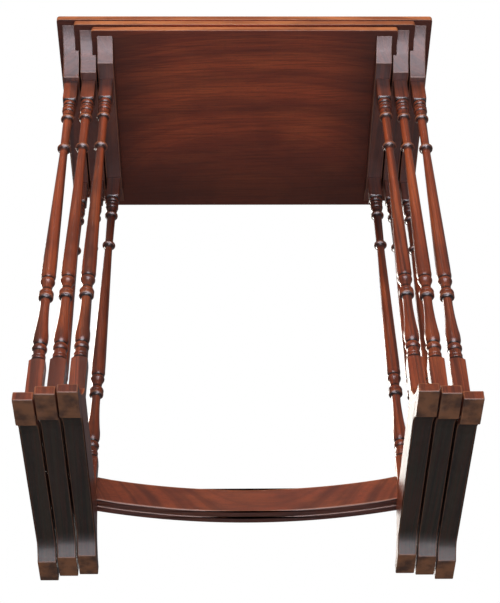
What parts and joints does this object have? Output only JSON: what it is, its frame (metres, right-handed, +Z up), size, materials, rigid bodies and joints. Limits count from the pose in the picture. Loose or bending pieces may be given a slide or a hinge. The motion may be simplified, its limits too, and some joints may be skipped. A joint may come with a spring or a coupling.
{
  "type": "nest of tables",
  "caption": "Nest of mahogany side tables on turned legs and sled feet, each smaller one sliding out from under the next, with bowed stretchers.",
  "frame": {"origin": "on the floor under the centre of the nested set's bounding box", "axes": "+X to the right seen from the open front, +Y to the back, +Z up"},
  "size_m": [0.53, 0.357, 0.705],
  "materials": {
    "mahogany_tops": "gloss french polish",
    "mahogany_bearers": "gloss french polish",
    "mahogany_turned_legs": "gloss french polish",
    "mahogany_feet": "gloss french polish, bare worn pads",
    "mahogany_stretchers": "gloss french polish"
  },
  "bodies": {
    "large_table": {"large_top": "mahogany_tops", "large_bearer_left": "mahogany_bearers", "large_foot_left": "mahogany_feet", "large_leg_front_left": "mahogany_turned_legs", "large_leg_rear_left": "mahogany_turned_legs", "large_bearer_right": "mahogany_bearers", "large_foot_right": "mahogany_feet", "large_leg_front_right": "mahogany_turned_legs", "large_leg_rear_right": "mahogany_turned_legs", "large_stretcher": "mahogany_stretchers"},
    "middle_table": {"middle_top": "mahogany_tops", "middle_bearer_left": "mahogany_bearers", "middle_foot_left": "mahogany_feet", "middle_leg_front_left": "mahogany_turned_legs", "middle_leg_rear_left": "mahogany_turned_legs", "middle_bearer_right": "mahogany_bearers", "middle_foot_right": "mahogany_feet", "middle_leg_front_right": "mahogany_turned_legs", "middle_leg_rear_right": "mahogany_turned_legs", "middle_stretcher": "mahogany_stretchers"},
    "small_table": {"small_top": "mahogany_tops", "small_bearer_left": "mahogany_bearers", "small_foot_left": "mahogany_feet", "small_leg_front_left": "mahogany_turned_legs", "small_leg_rear_left": "mahogany_turned_legs", "small_bearer_right": "mahogany_bearers", "small_foot_right": "mahogany_feet", "small_leg_front_right": "mahogany_turned_legs", "small_leg_rear_right": "mahogany_turned_legs", "small_stretcher": "mahogany_stretchers"}
  },
  "joints": [
    {"name": "middle_table_slide", "type": "slide", "parent": "large_table", "child": "middle_table", "axis": [0, -1, 0], "range_m": [0, 0.28]},
    {"name": "small_table_slide", "type": "slide", "parent": "middle_table", "child": "small_table", "axis": [0, -1, 0], "range_m": [0, 0.28]}
  ]
}
